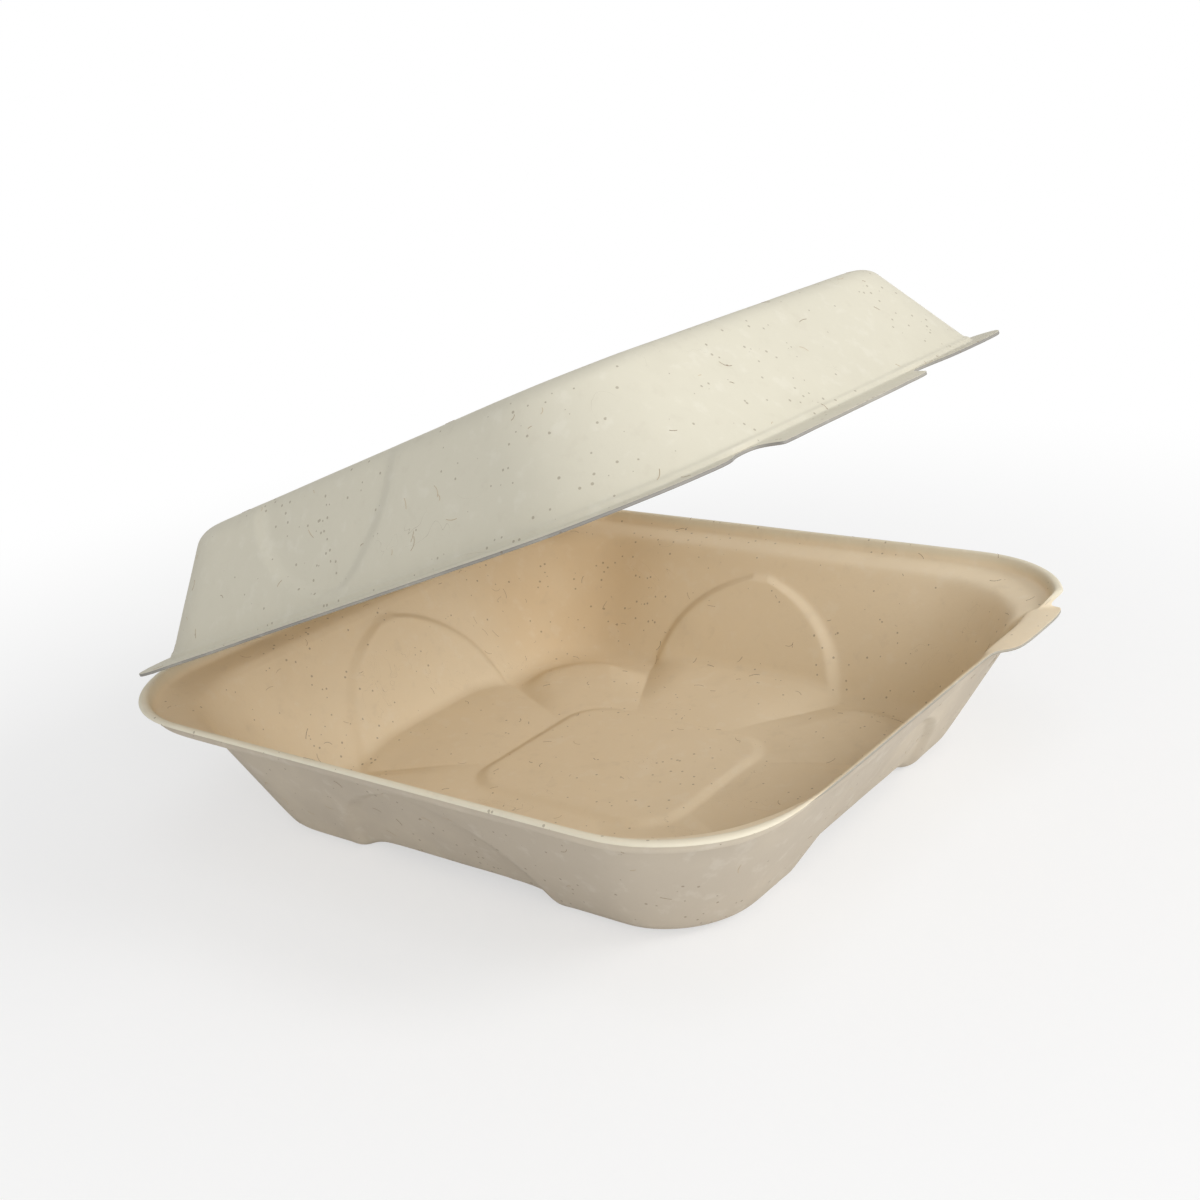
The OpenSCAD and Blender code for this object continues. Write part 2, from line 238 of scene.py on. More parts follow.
def rim_rows(p):
    ridge, cut, e = ridge_in(p), front_cut(p), ear(p)
    edge = mix(ridge - 2.4, 0.2, e)
    n = len(LIP_ROWS)
    rows = []
    for j, (d, z) in enumerate(LIP_ROWS):
        flat = (mix(edge, ridge - 1.0, j / n), LEDGE_Z - 0.5 * (j / n) ** 2)
        rows.append((mix(d, flat[0], cut), mix(TRAY["h"] + z, flat[1], cut)))
    fall = TRAY["ledge_fall"]
    rows += [(mix(TRAY["ledge_in"] - 5.0, ridge - 0.9, cut), LEDGE_Z - 0.5 * fall),
             (mix(TRAY["ledge_in"] - 2.2, ridge - 0.5, cut), LEDGE_Z - fall),
             (mix(TRAY["ledge_in"] - 0.6, ridge + 0.1, cut), LEDGE_Z - fall - 0.8),
             (ridge + 0.8, WALL_Z)]
    return rows


print("ledge at", LEDGE_Z, "mm, wall starts at", round(WALL_Z, 2), "mm")

# %% [markdown]
# ## The floor
# The corners of the floor are the feet. Between them bridges lie higher, a groove runs beside each
# bridge towards the middle, and a square panel is raised in the middle.

# %% Floor rows of the tray
LEAN = math.atan((TRAY["foot_in"] - TRAY["ledge_in"]) / WALL_Z)
RUN = TRAY["fillet"] * math.tan((math.pi / 2 - LEAN) / 2)
FOOT_Z = WALL - 0.1
BRIDGE_Z = FLOOR["bridge"] + WALL
MIDDLE_Z = FLOOR["middle"] + WALL


def past_groove(p, t, r):
    """How far a ring's point lies past the nearest groove, measured along the ring into the corner."""
    reach = floor_reach(t)
    groove = floor_spread(reach, t)[4]
    if p[1] is None:
        turn = min(p[2], 90.0 - p[2])
        return reach - groove + r * math.radians(turn)
    return floor_spread(reach, t)[abs(p[1])] - groove


def floor_reach(t):
    hx = mix(TRAY["w"] / 2 - TRAY["foot_in"] - RUN, FLOOR["panel"] / 2 + FLOOR["panel_edge"], t)
    return hx - mix(TRAY["foot_r"] - RUN / 2, FLOOR["panel_r"], t)


def floor_level(p, t):
    """Height of the floor at share t of the way from the wall to the panel."""
    r = mix(TRAY["foot_r"] - RUN / 2, FLOOR["panel_r"], t)
    bridge = mix(BRIDGE_Z, MIDDLE_Z, t)
    pad = mix(FOOT_Z, mix(MIDDLE_Z + FLOOR["pad_rise"], MIDDLE_Z, t), ease(t / 0.22))
    groove = mix(FOOT_Z + 0.1, MIDDLE_Z, ease(t / 0.75) ** 1.6)
    past = past_groove(p, t, r)
    if past < 0:
        return mix(groove, bridge, min(1.0, -past / between("bridge_bank", t)))
    return mix(groove, pad, min(1.0, past / between("foot_bank", t)))


def between(name, t):
    """A width of the floor at share t of the way from the wall to the panel."""
    return mix(AT_WALL[name], AT_PANEL[name], t)


def floor_spread(reach, t):
    """Distances of the places from a side's middle. A short ring shrinks the bridge and the groove."""
    small = min(1.0, reach / 21.0)
    edge, groove, near = (small * between(name, t) for name in ("bridge_half", "groove", "groove_half"))
    past = groove + near
    return [0, 0.5 * edge, edge, groove - near, groove, past, 0.5 * (past + reach), reach]


def wall_in(p, z):
    return mix(TRAY["foot_in"], ridge_in(p) + 0.8, max(0.0, min(1.0, z / WALL_Z)))


def wall_r(z):
    return mix(TRAY["foot_r"], TRAY["ledge_r"], max(0.0, min(1.0, z / WALL_Z)))


def foot_round(p):
    """Share of the full rounding between wall and floor; it is tighter at a bridge."""
    k = SIDE if p[1] is None else abs(p[1])
    return 0.55 if k <= 2 else 0.75 if k <= 4 else 1.0


def tray_rings():
    """Rings from the lip's outer edge over the ledge, wall and floor to the panel's middle."""
    rings = []
    hx, hy = TRAY["w"] / 2, TRAY["d"] / 2
    rows = [rim_rows(p) for p in RING]
    n_lip = len(LIP_ROWS)
    for v in range(len(rows[0])):
        ring = []
        for p, row in zip(RING, rows):
            d, z = row[v]
            r = TRAY["rim_r"] - 0.3 * d
            if v >= n_lip:
                r = mix(TRAY["rim_r"] - 1.5, TRAY["ledge_r"], (v - n_lip + 1) / 4)
            reach = half_straight(p, hx - d, hy - d, r)
            ring.append(tray_at(p, d, z, r, along(p, rim_spread(p, reach))))
        rings.append(ring)
    for share in (1.06, 1.015, 0.985, 0.95, 0.88, 0.78, 0.66, 0.53, 0.4):
        ring = []
        for p in RING:
            z = share * crown(p)
            d = wall_in(p, z) + (ARCH["step"] if on_panel(p) and share < 1.0 else 0.0)
            r = wall_r(z)
            reach = half_straight(p, hx - d, hy - d, r)
            ring.append(tray_at(p, d, z, r, along(p, arch_spread(arch_width(share), reach)) + shifted(p)))
        rings.append(ring)
    for t in (0.0, 0.2, 0.4, 0.6, 0.8, 1.0):
        ring = []
        for p in RING:
            base = floor_level(p, 0.0)
            bulge = ARCH["step"] if on_panel(p) else 0.0
            run = RUN * foot_round(p)
            top = base + run * math.cos(LEAN)
            a = (wall_in(p, top) + bulge, top)
            b = (wall_in(p, base) + bulge, base)
            c = (TRAY["foot_in"] + RUN if run == RUN else b[0] + run, base)
            q = [mix(mix(a[i], b[i], t), mix(b[i], c[i], t), t) for i in (0, 1)]
            r = mix(wall_r(top), TRAY["foot_r"] - RUN / 2, t)
            reach = half_straight(p, hx - q[0], hy - q[0], r)
            walls = arch_spread(arch_width(top / crown(p)), reach)
            s = [mix(wall_s, floor_s, t) for wall_s, floor_s in zip(walls, floor_spread(reach, 0.0))]
            ring.append(tray_at(p, q[0], q[1], r, along(p, s) + (1 - t) * shifted(p)))
        rings.append(ring)
    step = (TRAY["d"] - TRAY["w"]) / 2
    for t in (0.06, FLOOR["pad"], 0.2, 0.3, 0.4, 0.5, 0.66, 0.83, 0.95, 1.0):
        ring = []
        for p in RING:
            ax = mix(hx - TRAY["foot_in"] - RUN, FLOOR["panel"] / 2 + FLOOR["panel_edge"], t)
            r = mix(TRAY["foot_r"] - RUN / 2, FLOOR["panel_r"], t)
            reach = half_straight(p, ax, ax + step, r)
            x, y = outline(p, ax, ax + step, r, along(p, floor_spread(reach, t)))
            ring.append((x, y + TRAY_Y, floor_level(p, t)))
        rings.append(ring)
    for share in (1.0, 0.94, 0.6, 0.3, 0.1):
        ring = []
        for p in RING:
            ax, ay = share * FLOOR["panel"] / 2, share * (FLOOR["panel"] / 2 + step)
            r = share * (FLOOR["panel_r"] - 1.2)
            reach = half_straight(p, ax, ay, r)
            x, y = outline(p, ax, ay, r, along(p, floor_spread(reach, 1.0)))
            ring.append((x, y + TRAY_Y, MIDDLE_Z + FLOOR["panel_rise"]))
        rings.append(ring)
    return rings


tray = tray_rings()
print("tray cage", len(tray), "rings")

# %% [markdown]
# ## The lid
# The lid is drawn shut, lying on the rim, and is then turned about the fold line to where the
# photograph shows it. Its flange has a gap on each side of the locking tab.

# %% Rings of the lid
CREASE_Z = FOLD_Z + FIT_GAP / 2 + WALL + LID["fall"]
LID_D = TRAY["d"] - 2 * LID["set"]
LID_Y = FOLD_Y - FOLD_WEB - LID["set"] - LID_D / 2
WALL_RUN = LID["h"] - LID["edge_r"]


def lid_at(p, d, z, r, s):
    x, y = outline(p, LID["w"] / 2 - d, LID_D / 2 - d, r, s)
    return (x, y + LID_Y, z)


def lid_spread(p, reach):
    k = reach / (LID["w"] / 2 - LID["r"])
    if p[0] == 0 and (p[1] or 0) > 0:
        a, b = LID["tab_right"], LID["tab_right"] + LID["gap"]
        return [0, 0.6 * a * k, (a - 2) * k, (a + 1) * k, (a + 4) * k, (b - 2) * k, b * k, reach]
    if p[0] == 0:
        a = LID["tab_left"]
        return [0, 0.35 * a * k, 0.7 * a * k, (a - 2) * k, a * k, (a + 2) * k, (a + 11) * k, reach]
    return [reach * j / 7 for j in range(8)]


def flange_x(p):
    if (p[0] == 3 and p[2] > 45) or (p[0] == 0 and p[1] is None):
        return lid_at(p, 0, 0, LID["r"], 0)[0]
    if p[0] == 0:
        return along(p, lid_spread(p, LID["w"] / 2 - LID["r"]))
    return None


def flange_cut(p):
    x = flange_x(p)
    if x is None:
        return 0.0
    left = ease((x + 76.0) / 9.0) * (1 - ease((x + LID["tab_left"] + 2.0) / 2.0))
    right = ease((x - LID["tab_right"] + 1.0) / 4.0) * (1 - ease((x - LID["tab_right"] - LID["gap"] + 2.0) / 2.0))
    corner = 0.23 * ease((x - 68.0) / 18.0) * (1 - ease((x - 96.0) / 16.0))
    return max(0.88 * left, 0.88 * right, corner)


def tab(p):
    x = flange_x(p)
    if x is None:
        return 0.0
    return ease((x + LID["tab_left"] + 2.0) / 2.0) * (1 - ease((x - LID["tab_right"] + 1.0) / 4.0))


def lid_arch_width(z):
    """Half width of the lid's arch at height z. Its tip points down, towards the flange."""
    tip = LID_ARCH["tip"]
    if z <= tip:
        return ARCH["pinch"]
    return max(ARCH["pinch"], LID_ARCH["half"] * (1 - (1 - (z - tip) / (LID["h"] - tip)) ** 2) ** 0.6)


def lid_along(p, h, reach):
    """The lid's arches are narrower than the tray's, softer, and stand further back."""
    if p[0] % 2 == 0:
        return along(p, lid_spread(p, reach))
    if p[1] is None:
        return 0.0
    moved = (1 if p[0] == 1 else -1) * LID_ARCH["shift"] * min(1.0, 0.35 + h / LID_ARCH["half"])
    weight = (1.0, 1.0, 1.0, 1.0, 1.0, 0.9, 0.45, 0.0)[abs(p[1])]
    return along(p, arch_spread(h, reach, LID_ARCH["slope"])) + moved * weight


def behind(p):
    """1 on the lid's back side, fading in the two corners beside it."""
    if p[1] is None:
        return p[2] / 90 if p[0] == 1 else 1 - p[2] / 90 if p[0] == 2 else 0.0
    return 1.0 if p[0] == 2 else 0.0


def lid_wall_in(p, z):
    """How far inside the flange's edge the lid's wall stands at height z."""
    return mix(LID["flange"] + 0.3 - LID["back"] * behind(p), LID["flange"] + LID["lean"], z / LID["h"])


def lid_bulge(p):
    """The lid has arches on its left and right sides only."""
    return LID_ARCH["step"] if p[0] % 2 == 1 and on_panel(p) else 0.0


def lid_rings():
    """Rings from the flange's outer edge up the wall and over the rounded step to the top's middle."""
    rings = []
    hx, hy = LID["w"] / 2, LID_D / 2
    flange, crease_r = LID["flange"], LID["r"] - LID["flange"] / 2
    profile = [(0.0, -LID["fall"]), (0.25, -LID["fall"] * 0.7), (0.6, -LID["fall"] * 0.35), (0.86, -0.1),
               (0.97, 0.05), (1.0, 0.5), (1.05, 1.5)]
    for share, z in profile:
        ring = []
        for p in RING:
            keep = 1 - flange_cut(p)
            d = (flange - LID["back"] * behind(p)) * (1 - (1 - share) * keep)
            low = z - (LID["tab_fall"] * tab(p) * (1 - share) if share < 1 else 0.0)
            r = mix(LID["r"], crease_r, min(1.0, d / flange))
            reach = half_straight(p, hx - d, hy - d, r)
            ring.append(lid_at(p, d, CREASE_Z + low, r, along(p, lid_spread(p, reach))))
        rings.append(ring)
    tip = LID_ARCH["tip"]
    for z in (tip - 1.6, tip - 0.3, tip + 0.5, tip + 1.6, tip + 4.0, tip + 8.0, tip + 13.0, tip + 18.0, WALL_RUN):
        ring = []
        for p in RING:
            d = lid_wall_in(p, z) + (lid_bulge(p) if z > tip else 0.0)
            r = mix(crease_r, LID["top_r"], z / LID["h"])
            reach = half_straight(p, hx - d, hy - d, r)
            ring.append(lid_at(p, d, CREASE_Z + z, r, lid_along(p, lid_arch_width(z), reach)))
        rings.append(ring)
    for t in (0.25, 0.5, 0.75, 1.0):
        ring = []
        for p in RING:
            bulge = lid_bulge(p)
            a = (lid_wall_in(p, WALL_RUN) + bulge, WALL_RUN)
            b = (flange + LID["lean"] + bulge, LID["h"])
            c = (flange + LID["lean"] + LID["edge_r"], LID["h"])
            q = [mix(mix(a[i], b[i], t), mix(b[i], c[i], t), t) for i in (0, 1)]
            r = LID["top_r"] - t * LID["edge_r"] / 2
            reach = half_straight(p, hx - q[0], hy - q[0], r)
            ring.append(lid_at(p, q[0], CREASE_Z + q[1], r, lid_along(p, LID_ARCH["half"], reach)))
        rings.append(ring)
    outer, outer_r = flange + LID["lean"] + LID["edge_r"], LID["top_r"] - LID["edge_r"] / 2
    for inset in (4.0, 16.0, 32.0, 50.0, 66.0, 74.0):
        ring = []
        for p in RING:
            d = outer + inset
            r = mix(outer_r, 2.0, inset / 78.0)
            reach = half_straight(p, hx - d, hy - d, r)
            full = half_straight(p, hx - outer, hy - outer, outer_r)
            s = lid_along(p, LID_ARCH["half"], full) * reach / full
            ring.append(lid_at(p, d, CREASE_Z + LID["h"], r, s))
        rings.append(ring)
    return rings


lid = lid_rings()
print("lid cage", len(lid), "rings")

# %% [markdown]
# ## From rings to a cage
# A cage is a mesh of four-sided faces, one for each pair of neighbouring points on two neighbouring
# rings. Its faces point up, and the hole in the middle is closed with one point.

# %% Build the two cages
OPENED = (Matrix.Translation((0, FOLD_Y, FOLD_Z)) @ Matrix.Rotation(math.radians(-OPEN), 4, "X")
          @ Matrix.Translation((0, -FOLD_Y, -FOLD_Z)))


def add_object(name, data):
    obj = bpy.data.objects.new(name, data)
    bpy.context.scene.collection.objects.link(obj)
    return obj


def cage(name, rings, turn=None):
    n = len(RING)
    points = [Vector(q) for ring in rings for q in ring]
    middle = sum((Vector(q) for q in rings[-1]), Vector()) / n
    points.append(middle)
    if turn:
        points = [turn @ q for q in points]
    faces = [(v * n + u, v * n + (u + 1) % n, (v + 1) * n + (u + 1) % n, (v + 1) * n + u)
             for v in range(len(rings) - 1) for u in range(n)]
    last = (len(rings) - 1) * n
    faces += [(last + u, last + (u + 1) % n, len(points) - 1) for u in range(n)]
    mesh = bpy.data.meshes.new(name)
    mesh.from_pydata([q * MM for q in points], [], faces)
    mesh.update()
    return add_object(name, mesh)


tray_cage = cage("tray_cage", tray)
lid_cage = cage("lid_cage", lid, OPENED)
print("cages", len(tray_cage.data.polygons), "and", len(lid_cage.data.polygons), "faces")

# %% [markdown]
# ## Pressing the sheet
# Solidify could thicken the cage, but here one Geometry Nodes tree does what the press does. It
# rounds the cage, adds the slight unevenness of pulp, moves a copy of the surface down by the
# thickness and closes the edge between the two. It also marks which side is which, because the
# wire mesh of the mould leaves one side rougher than the other.

# %% A helper for node trees
class Tree:
    """Adds nodes to a tree and links values into them."""

    def __init__(self, tree):
        self.tree = tree

    def node(self, kind, values=None, **settings):
        n = self.tree.nodes.new(kind)
        for key, value in settings.items():
            setattr(n, key, value)
        for key, value in (values or {}).items():
            self.put(n.inputs[key], value)
        return n

    def put(self, socket, value):
        if isinstance(value, Term):
            value = value.socket
        if isinstance(value, bpy.types.NodeSocket):
            self.tree.links.new(value, socket)
        else:
            socket.default_value = value


class Term:
    """A value in a node tree, with the signs of arithmetic."""

    def __init__(self, tree, socket):
        self.tree, self.socket = tree, socket

    def math(self, operation, *others, clamp=False):
        n = self.tree.node("ShaderNodeMath", operation=operation, use_clamp=clamp)
        for i, value in enumerate((self, *others)):
            self.tree.put(n.inputs[i], value)
        return Term(self.tree, n.outputs[0])

    def __add__(self, other):
        return self.math("ADD", other)

    def __sub__(self, other):
        return self.math("SUBTRACT", other)

    def __mul__(self, other):
        return self.math("MULTIPLY", other)

    def __truediv__(self, other):
        return self.math("DIVIDE", other)

    def __rsub__(self, other):
        return (self * -1.0) + other

    def __rtruediv__(self, other):
        n = self.tree.node("ShaderNodeMath", {0: other, 1: self}, operation="DIVIDE")
        return Term(self.tree, n.outputs[0])

    __radd__ = __add__
    __rmul__ = __mul__

    def window(self, low, high, start=0.0, end=1.0):
        """Start below low, end above high, and a smooth rise between them."""
        n = self.tree.node("ShaderNodeMapRange", {"Value": self, "From Min": low, "From Max": high,
                                                  "To Min": start, "To Max": end},
                           interpolation_type="SMOOTHSTEP")
        return Term(self.tree, n.outputs["Result"])


def store(tree, geometry, name, value, kind="FLOAT", domain="FACE", **chosen):
    """Adds a node that writes a named attribute, and returns its geometry."""
    values = {"Geometry": geometry, "Name": name, "Value": value}
    values.update({key.capitalize(): socket for key, socket in chosen.items()})
    return tree.node("GeometryNodeStoreNamedAttribute", values, data_type=kind, domain=domain).outputs[0]


def new_tree(name, numbers):
    """A Geometry Nodes tree with the given number inputs, and sockets for geometry and material."""
    tree = bpy.data.node_groups.new(name, "GeometryNodeTree")
    face = tree.interface
    face.new_socket("Geometry", in_out="INPUT", socket_type="NodeSocketGeometry")
    for label, value in numbers.items():
        kind = "NodeSocketInt" if isinstance(value, int) else "NodeSocketFloat"
        face.new_socket(label, in_out="INPUT", socket_type=kind).default_value = value
    face.new_socket("Material", in_out="INPUT", socket_type="NodeSocketMaterial")
    face.new_socket("Geometry", in_out="OUTPUT", socket_type="NodeSocketGeometry")
    return tree


def new_material(name):
    """An empty material and the helper for its tree."""
    mat = bpy.data.materials.new(name)
    mat.use_nodes = True
    mat.node_tree.nodes.clear()
    return mat, Tree(mat.node_tree)


print("helpers ready")


# %% The pressing tree
def pressing_tree():
    tree = new_tree("pressed sheet", {"Rounding": 2, "Thickness": WALL * MM, "Unevenness": 0.00012,
                                      "Patch size": 0.02, "Seed": 1.0})
    t = Tree(tree)
    given = t.node("NodeGroupInput").outputs
    done = t.node("NodeGroupOutput")
    smooth = t.node("GeometryNodeSubdivisionSurface", {"Mesh": given["Geometry"], "Level": given["Rounding"]})
    up = t.node("GeometryNodeInputNormal").outputs[0]
    patches = 1.0 / Term(t, given["Patch size"])
    stretch = t.node("ShaderNodeCombineXYZ", {"X": patches, "Y": patches, "Z": patches})
    where = t.node("ShaderNodeVectorMath", {0: t.node("GeometryNodeInputPosition").outputs[0],
                                            1: stretch.outputs[0]}, operation="MULTIPLY")
    noise = t.node("ShaderNodeTexNoise", {"Scale": 1.0, "Detail": 2.0, "W": given["Seed"],
                                          "Vector": where.outputs[0]}, noise_dimensions="4D")
    lift = (Term(t, noise.outputs["Fac"]) - 0.5) * Term(t, given["Unevenness"]) * 2.0
    offset = t.node("ShaderNodeVectorMath", {0: up, "Scale": lift}, operation="SCALE")
    wavy = t.node("GeometryNodeSetPosition", {"Geometry": smooth.outputs[0], "Offset": offset.outputs[0]})
    kept = store(t, wavy.outputs[0], "up", up, "FLOAT_VECTOR", "POINT")
    up_saved = t.node("GeometryNodeInputNamedAttribute", {"Name": "up"}, data_type="FLOAT_VECTOR").outputs[0]
    step = t.node("ShaderNodeVectorMath", {0: up_saved, "Scale": given["Thickness"]}, operation="SCALE")
    down = t.node("ShaderNodeVectorMath", {0: step.outputs[0], "Scale": -1.0}, operation="SCALE")
    lower = t.node("GeometryNodeSetPosition", {"Geometry": kept, "Offset": down.outputs[0]})
    raised = t.node("GeometryNodeExtrudeMesh", {"Mesh": lower.outputs[0], "Offset": step.outputs[0],
                                                "Offset Scale": 1.0, "Individual": False}, mode="FACES")
    upper = store(t, raised.outputs["Mesh"], "upper_side", 1.0, selection=raised.outputs["Top"])
    # Marks the faces of the sheet's cut edge; the material paints them darker as shade, for the dark band under the
    # tray's lip and along the lid's flange.
    shade_marked = store(t, upper, "edge_shade", 1.0, selection=raised.outputs["Side"])
    turned_over = t.node("GeometryNodeFlipFaces", {"Mesh": lower.outputs[0]})
    under = store(t, turned_over.outputs[0], "upper_side", 0.0)
    joined = t.node("GeometryNodeJoinGeometry")
    t.put(joined.inputs[0], under)
    t.put(joined.inputs[0], shade_marked)
    welded = t.node("GeometryNodeMergeByDistance", {"Geometry": joined.outputs[0], "Distance": 0.00001})
    real = t.node("GeometryNodeRealizeInstances", {"Geometry": welded.outputs[0]})
    shaded = t.node("GeometryNodeSetShadeSmooth", {"Geometry": real.outputs[0], "Shade Smooth": True})
    painted = t.node("GeometryNodeSetMaterial", {"Geometry": shaded.outputs[0], "Material": given["Material"]})
    t.put(done.inputs[0], painted.outputs[0])
    return tree


PRESS = pressing_tree()
print("pressing tree has", len(PRESS.nodes), "nodes")


def run_tree(obj, tree, name, **values):
    """Runs the tree on obj and returns a plain mesh object with the result."""
    mod = obj.modifiers.new(tree.name, "NODES")
    mod.node_group = tree
    ids = {s.name: s.identifier for s in tree.interface.items_tree
           if s.item_type == "SOCKET" and s.in_out == "INPUT"}
    for key, value in values.items():
        mod[ids[key]] = value
    bpy.context.view_layer.update()
    got = obj.evaluated_get(bpy.context.evaluated_depsgraph_get())
    mesh = bpy.data.meshes.new_from_object(got)
    mesh.name = name
    made = add_object(name, mesh)
    obj.modifiers.remove(mod)
    return made


# %% [markdown]
# ## The pulp
# Pressed plant fibre is matte. Up close it has three things: soft patches where the pulp lay thicker,
# a fine relief from the wire mesh, and small dark specks and fibres. All of it is made from noise in
# the object's own coordinates, so it stays in place when the lid turns. Shade is also painted into the
# colour: on the sheet's cut edge, and in part towards the tray's far corner, under the lid.

# %% The pulp material
LIP_FROM, LIP_TO = 0.0445, 0.0482
FAR_CORNER = (0.088, 0.088, 0.022)
CORNER_SHADE_AND_TONE = (0.70, 0.53, 0.32, 1)
DARK_MOTTLE, LIGHT_MOTTLE = (0.42, 0.35, 0.27, 1), (0.97, 0.95, 0.88, 1)


def pulp(name, upper, lower, patch, speck, edge, lip=None, crowd=0.95):
    """Pulp with a colour for each side, painted shade on the cut edge, and the lip and far corner. A lower crowd
    gives more specks.
    """
    mat, t = new_material(name)
    where = t.node("ShaderNodeTexCoord").outputs["Object"]

    def noise(scale, detail=3.0, rough=0.55, offset=(0, 0, 0), stretch=(1, 1, 1), twist=0.0):
        moved = t.node("ShaderNodeMapping", {"Vector": where, "Location": offset, "Scale": stretch}).outputs[0]
        n = t.node("ShaderNodeTexNoise", {"Vector": moved, "Scale": scale, "Detail": detail, "Roughness": rough,
                                          "Distortion": twist})
        return Term(t, n.outputs["Fac"])

    def blend(a, b, share):
        n = t.node("ShaderNodeMix", data_type="RGBA")
        t.put(n.inputs[0], share)
        t.put(n.inputs[6], a)
        t.put(n.inputs[7], b)
        return n.outputs[2]

    side = Term(t, t.node("ShaderNodeAttribute", attribute_name="upper_side").outputs["Fac"])
    inner = upper
    if lip:
        height = Term(t, t.node("ShaderNodeSeparateXYZ", {"Vector": where}).outputs["Z"])
        inner = blend(upper, lip, height.window(LIP_FROM, LIP_TO))
        # Darker and warmer towards the tray's far corner: partly painted shade under the lid, partly a warmer tone of
        # the pulp.
        corner = t.node("ShaderNodeVectorMath", {0: where, 1: FAR_CORNER}, operation="DISTANCE")
        inner = blend(inner, CORNER_SHADE_AND_TONE, Term(t, corner.outputs["Value"]).window(0.062, 0.012) * 0.65)
    base = blend(lower, inner, side)
    # The cut edge takes the edge colour, which is painted shade.
    cut = Term(t, t.node("ShaderNodeAttribute", attribute_name="edge_shade").outputs["Fac"])
    base = blend(base, edge, cut)
    clouds = noise(14.0, 4.0, 0.6)
    base = blend(base, patch, clouds.window(0.42, 0.72) * 0.30)
    worn = noise(38.0, 3.0, 0.6, (4, 4, 9))
    base = blend(base, speck, worn.window(0.55, 0.85) * 0.07)
    mottle = noise(160.0, 3.0, 0.6, (3, 1, 2))
    base = blend(base, DARK_MOTTLE, mottle.window(0.56, 0.78) * 0.10)
    base = blend(base, LIGHT_MOTTLE, mottle.window(0.46, 0.28) * 0.10)
    cells = t.node("ShaderNodeTexVoronoi", {"Vector": where, "Scale": 640.0, "Randomness": 1.0})
    chosen = Term(t, t.node("ShaderNodeSeparateColor", {"Color": cells.outputs["Color"]}).outputs[0])
    many = noise(20.0, 2.0, 0.5, (6, 1, 3)).window(0.45, 0.70, 0.0, 0.12)
    size = (chosen + many).window(crowd, 1.02, 0.10, 0.27)
    dots = size.math("GREATER_THAN", Term(t, cells.outputs["Distance"]))
    base = blend(base, speck, dots * (chosen + many).math("GREATER_THAN", crowd) * 0.45)
    threads = noise(90.0, 2.0, 0.5, (7, 4, 5), (1.0, 0.35, 0.6), 1.8)
    thread = (threads - 0.5).math("ABSOLUTE").window(0.0016, 0.0, 0.0, 1.0)
    base = blend(base, speck, thread * noise(30.0, 1.0, 0.5, (2, 8, 1)).window(0.60, 0.66) * 0.5)

    grain = noise(1500.0, 2.0, 0.6, (1, 2, 3))
    felt = noise(420.0, 3.0, 0.6, (5, 2, 7))
    lumps = noise(75.0, 2.0, 0.5, (9, 9, 1))
    height = grain * 0.25 + felt * 0.55 + lumps * 1.2 - dots * 0.15
    bump = t.node("ShaderNodeBump", {"Height": height, "Strength": 0.35, "Distance": 0.00035})
    shader = t.node("ShaderNodeBsdfPrincipled", {
        "Base Color": base, "Roughness": felt * 0.16 + 0.62, "Normal": bump.outputs[0], "IOR": 1.45,
        "Specular IOR Level": 0.35})
    t.node("ShaderNodeOutputMaterial", {"Surface": shader.outputs[0]})
    return mat


# The edge colours are painted shade on the sheet's cut edge.
tray_pulp = pulp("tray pulp", upper=(0.84, 0.72, 0.53, 1), lower=(0.54, 0.475, 0.385, 1),
                 patch=(0.85, 0.75, 0.58, 1), speck=(0.16, 0.10, 0.05, 1), edge=(0.40, 0.37, 0.31, 1),
                 lip=(0.76, 0.71, 0.57, 1))
lid_pulp = pulp("lid pulp", upper=(0.68, 0.645, 0.53, 1), lower=(0.74, 0.62, 0.46, 1), patch=(0.75, 0.71, 0.58, 1),
                speck=(0.20, 0.14, 0.08, 1), edge=(0.30, 0.285, 0.26, 1), crowd=0.935)
print("materials", tray_pulp.name, "and", lid_pulp.name)

# %% [markdown]
# ## The two halves
# Each cage is pressed into its sheet and takes over from the CAD model's node, which stays hidden for
# collisions.

# %% Press the sheets
tray_shell = run_tree(tray_cage, PRESS, "tray_shell", Material=tray_pulp, Seed=1.0)
lid_shell = run_tree(lid_cage, PRESS, "lid_shell", Material=lid_pulp, Seed=5.0)
for helper in (tray_cage, lid_cage):
    bpy.data.objects.remove(helper)
for shell, body, node, slot in ((tray_shell, "tray", "base_tray", "tray_fibre"),
                                (lid_shell, "cover", "lid", "lid_fibre")):
    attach(shell, body)
    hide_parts(node)
    print(shell.name, len(shell.data.polygons), "faces")

# %% [markdown]
# ## The fold
# Along the back the two halves are one sheet, thinned to a strip that bends. Each half keeps its own
# side of that strip, up to the fold line, and both end in the same small round there. So the fold
# stays shut at every angle of the lid, and neither side has to stretch.

# %% Two sides of the fold
FOLD_HALF = min(TRAY["w"] / 2 - TRAY["rim_r"], LID["w"] / 2 - LID["r"]) - 2
BEAD = 0.36


